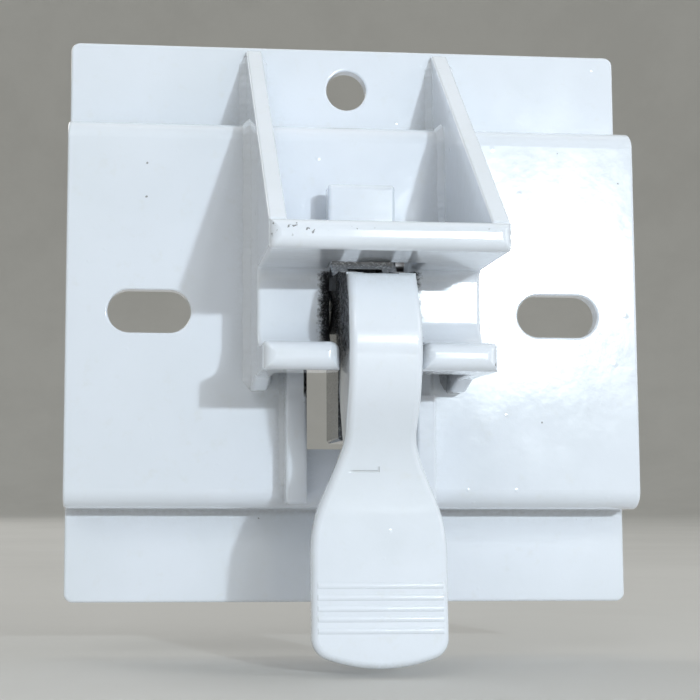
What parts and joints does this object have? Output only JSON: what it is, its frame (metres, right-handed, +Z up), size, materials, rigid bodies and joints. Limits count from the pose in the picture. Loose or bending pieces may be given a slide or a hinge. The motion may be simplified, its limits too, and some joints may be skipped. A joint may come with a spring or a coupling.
{
  "type": "gate latch",
  "caption": "White steel gate latch: hat-section plate with slots, gusseted open jaw and a sprung lever with a paddle that is pressed to release.",
  "frame": {"origin": "centre of the two mounting slots, projected onto the mounting face", "axes": "+Z up in use, +X to the right seen from the front, the front faces -Y and the mounting face lies in Y = 0"},
  "size_m": [0.0888, 0.0412, 0.096],
  "materials": {
    "powder_coat": "glossy white powder coat over 2 to 4 mm steel, thin and speckled in the recesses",
    "weld_bead": "glossy white powder coat over a rippled fillet weld",
    "lever_coat": "glossy white powder coat on stamped steel",
    "arm_coat": "steel with white powder coat on the exposed tongue and bare dark metal inside",
    "plated_steel": "bare bright steel pin",
    "spring_steel": "dark spring steel",
    "bush_nylon": "black nylon"
  },
  "bodies": {
    "plate": {"base_plate": "powder_coat", "jaw_strip": "powder_coat", "left_side_plate": "powder_coat", "right_side_plate": "powder_coat", "left_guide_leg": "powder_coat", "right_guide_leg": "powder_coat", "left_weld_outer": "weld_bead", "left_weld_inner": "weld_bead", "right_weld_outer": "weld_bead", "right_weld_inner": "weld_bead", "left_leg_weld": "weld_bead", "right_leg_weld": "weld_bead", "pivot_pin": "plated_steel", "pin_washer": "plated_steel", "pin_clip": "spring_steel", "left_bush": "bush_nylon", "right_bush": "bush_nylon", "stop_pin": "plated_steel", "torsion_spring": "spring_steel"},
    "lever": {"lever": "lever_coat", "tongue_arm": "arm_coat"}
  },
  "joints": [
    {"name": "lever_press", "type": "hinge", "parent": "plate", "child": "lever", "pos_m": [0, -0.0152, -0.0005], "axis": [1, 0, 0], "range_deg": [0, 22], "stiffness_Nm_per_rad": 0.35, "springref_deg": -28.65, "deforming": ["torsion_spring"]}
  ]
}
